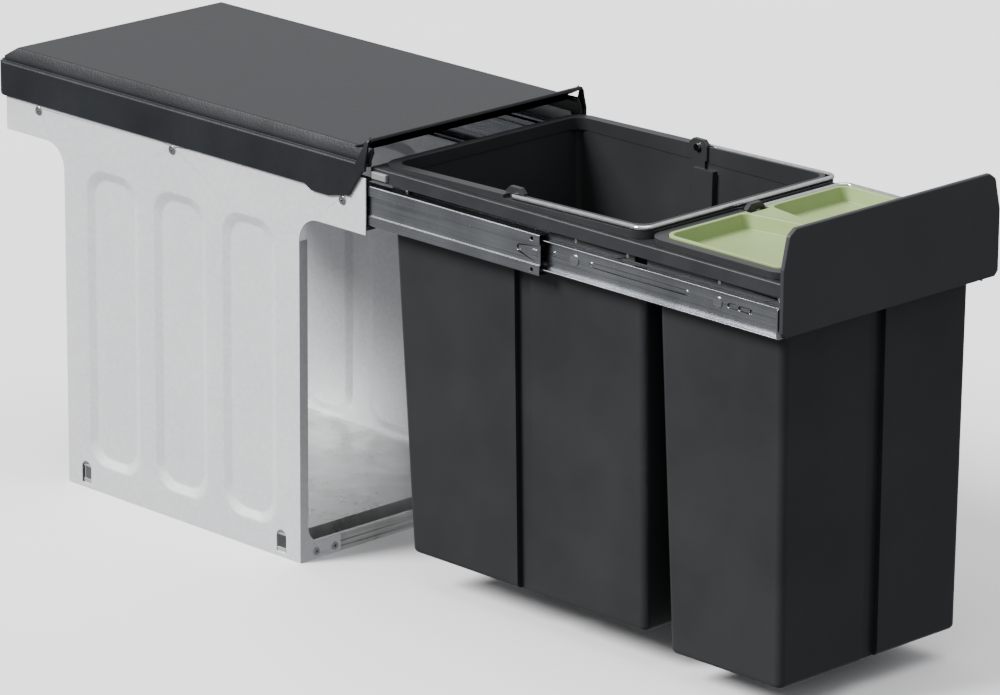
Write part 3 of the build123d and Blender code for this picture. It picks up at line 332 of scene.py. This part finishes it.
def tracedCopy(nodeName, shape):
    # a copy of the frame's piece with whole faces, rounded edges and even shading
    source = frame["nodes"][nodeName]
    pickOnly(source)
    bpy.ops.object.duplicate()
    piece = bpy.context.active_object
    piece.name = nodeName + ".finished"
    bpy.ops.object.parent_clear(type="CLEAR_KEEP_TRANSFORM")
    bpy.ops.mesh.customdata_custom_splitnormals_clear()
    bpy.ops.object.mode_set(mode="EDIT")
    bpy.ops.mesh.select_all(action="SELECT")
    bpy.ops.mesh.remove_doubles(threshold=tracing["weld"])
    bpy.ops.object.mode_set(mode="OBJECT")
    seamHoledFaces(piece, tracing["flat"])
    bpy.ops.object.mode_set(mode="EDIT")
    bpy.ops.mesh.select_all(action="SELECT")
    bpy.ops.mesh.dissolve_limited(angle_limit=tracing["flat"], delimit={"SEAM"})
    bpy.ops.object.mode_set(mode="OBJECT")
    rounding = piece.modifiers.new("rounding", "BEVEL")
    rounding.width = shape["edge"]
    rounding.segments = shape.get("segments", 2)
    rounding.limit_method = "ANGLE"
    rounding.angle_limit = tracing["crease"]
    rounding.use_clamp_overlap = False
    rounding.harden_normals = False
    pickOnly(piece)
    bpy.ops.object.modifier_apply(modifier="rounding")
    bpy.ops.object.shade_smooth_by_angle(angle=tracing["crease"])
    evening = piece.modifiers.new("evening", "WEIGHTED_NORMAL")
    evening.keep_sharp = True
    pickOnly(piece)
    bpy.ops.object.modifier_apply(modifier="evening")
    paint(piece, shape["finish"])
    return piece


def bodyOf(nodeName):
    for bodyName, nodes in frame["record"]["behaviour"]["bodies"].items():
        if nodeName in nodes:
            return bodyName
    return None


# edge is the rounding of the piece's corners in metres
tracedNodes = {
    "side_plate_left": {"edge": 0.0003, "finish": "sheet"},
    "side_plate_right": {"edge": 0.0003, "finish": "sheet"},
    "floor_pan": {"edge": 0.0004, "finish": "pan"},
    "rear_brace": {"edge": 0.0003, "finish": "sheet"},
    "top_cover": {"edge": 0.0007, "finish": "cover", "segments": 3},
    "cabinet_rail_left": {"edge": 0.0005, "finish": "slide", "segments": 3},
    "cabinet_rail_right": {"edge": 0.0005, "finish": "slide", "segments": 3},
    "mid_rail_left": {"edge": 0.0005, "finish": "slide", "segments": 3},
    "mid_rail_right": {"edge": 0.0005, "finish": "slide", "segments": 3},
    "inner_rail_left": {"edge": 0.0005, "finish": "slide", "segments": 3},
    "inner_rail_right": {"edge": 0.0005, "finish": "slide", "segments": 3},
    "frame_side_left": {"edge": 0.0004, "finish": "frame"},
    "frame_side_right": {"edge": 0.0004, "finish": "frame"},
    "frame_rear_bar": {"edge": 0.0004, "finish": "frame"},
    "frame_middle_bar": {"edge": 0.0004, "finish": "frame"},
    "frame_front_bar": {"edge": 0.0004, "finish": "frame"},
    "front_panel": {"edge": 0.0004, "finish": "panel"},
    "large_bin": {"edge": 0.00025, "finish": "bin"},
    "small_bin": {"edge": 0.00025, "finish": "bin"},
    "compost_tray": {"edge": 0.0007, "finish": "tray", "segments": 3},
}
for nodeName, shape in tracedNodes.items():
    piece = tracedCopy(nodeName, shape)
    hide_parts(nodeName)
    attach(piece, bodyOf(nodeName))
print("traced pieces ready", len(tracedNodes))

paintedNodes = {
    "plate_rivets": "rivet", "pan_rivets": "rivet", "rail_rivets": "rivet", "hanger_pins": "rivet",
    "panel_screws": "rivet", "frame_pins": "frame", "rail_buffer_left": "rubber", "rail_buffer_right": "rubber",
    "frame_slider_left": "slider", "frame_slider_right": "slider", "large_bin_handle": "wire",
    "small_bin_handle": "wire", "outer_balls_left": "ball", "outer_balls_right": "ball",
    "inner_balls_left": "ball", "inner_balls_right": "ball", "outer_ball_cage_left": "cage",
    "outer_ball_cage_right": "cage", "inner_ball_cage_left": "cage", "inner_ball_cage_right": "cage",
}
for nodeName, finish in paintedNodes.items():
    paint(frame["nodes"][nodeName], finish)
print("painted nodes", len(paintedNodes))


studio = {"sky": "#fbfcff", "below": 0.30, "above": 0.75, "dusk": -0.1, "dawn": 0.4, "floorSize": 40,
          "floorPale": "#f6f6f6", "floorDull": "#f1f1f1", "floorRoughness": 0.9}

bpy.ops.object.select_all(action="DESELECT")
bpy.ops.mesh.primitive_plane_add(size=studio["floorSize"], location=(0, 0, 0))
studioFloor = bpy.context.active_object
studioFloor.name = "studioFloor"
floorMaterial, floorTree, floorPlace = startMaterial("palePaperFloor")
paperTone = addNode(floorTree, "ShaderNodeTexNoise", {"Scale": 3.0, "Detail": 2.0}, {"Vector": floorPlace})
paperStops = [(0.3, studio["floorDull"]), (0.7, studio["floorPale"])]
paperColour = colourRamp(floorTree, paperTone.outputs["Fac"], paperStops)
paper = addNode(floorTree, "ShaderNodeBsdfPrincipled", {"Roughness": studio["floorRoughness"]},
                {"Base Color": paperColour})
endMaterial(floorTree, paper)
studioFloor.data.materials.append(floorMaterial)
studioFloor.visible_diffuse = False  # a white floor would light the shaded insides
studioFloor.visible_glossy = False

world = bpy.data.worlds.new("softStudio")
world.use_nodes = True
sky = world.node_tree
heading = addNode(sky, "ShaderNodeTexCoord").outputs["Generated"]
height = addNode(sky, "ShaderNodeSeparateXYZ", {}, {"Vector": heading}).outputs["Z"]
glow = valueRange(sky, height, studio["below"], studio["above"], studio["dusk"], studio["dawn"])
backdrop = sky.nodes["Background"]
backdrop.inputs["Color"].default_value = linearColour(studio["sky"])
sky.links.new(glow, backdrop.inputs["Strength"])
bpy.context.scene.world = world

lamps = {
    "windowLight": {"from": (-0.72, 0.40, 0.66), "softness": 24, "strength": 6.6},
    "roomLight": {"from": (0.10, -0.10, 0.98), "softness": 60, "strength": 1.6},
}
for lampName, lamp in lamps.items():
    bpy.ops.object.light_add(type="SUN", location=lamp["from"])
    light = bpy.context.active_object
    light.name = lampName
    light.data.energy = lamp["strength"]
    light.data.angle = math.radians(lamp["softness"])
    light.rotation_euler = Vector(lamp["from"]).to_track_quat("Z", "Y").to_euler()

view = {"azimuth": -44.56, "elevation": 17.41, "roll": 0.35, "distance": 4.9754, "right": 0.0340, "up": -0.02321,
        "aim": (0.0, -0.208, 0.200), "lens": 215.5, "sensor": 36, "clipEnd": 100}
turn = math.radians(view["azimuth"])
tilt = math.radians(view["elevation"])
lean = math.radians(view["roll"])
backward = Vector((math.sin(turn) * math.cos(tilt), -math.cos(turn) * math.cos(tilt), math.sin(tilt)))
levelRight = Vector((math.cos(turn), math.sin(turn), 0))
levelUp = backward.cross(levelRight)
cameraRight = math.cos(lean) * levelRight + math.sin(lean) * levelUp
cameraUp = math.cos(lean) * levelUp - math.sin(lean) * levelRight
eye = Vector(view["aim"]) + view["distance"] * backward + view["right"] * cameraRight + view["up"] * cameraUp
cameraTurn = Matrix((cameraRight, cameraUp, backward)).transposed()
bpy.ops.object.camera_add(location=eye, rotation=cameraTurn.to_euler())
camera = bpy.context.active_object
camera.name = "studioCamera"
camera.data.lens = view["lens"]
camera.data.sensor_width = view["sensor"]
camera.data.clip_end = view["clipEnd"]
bpy.context.scene.camera = camera
print("studio ready")
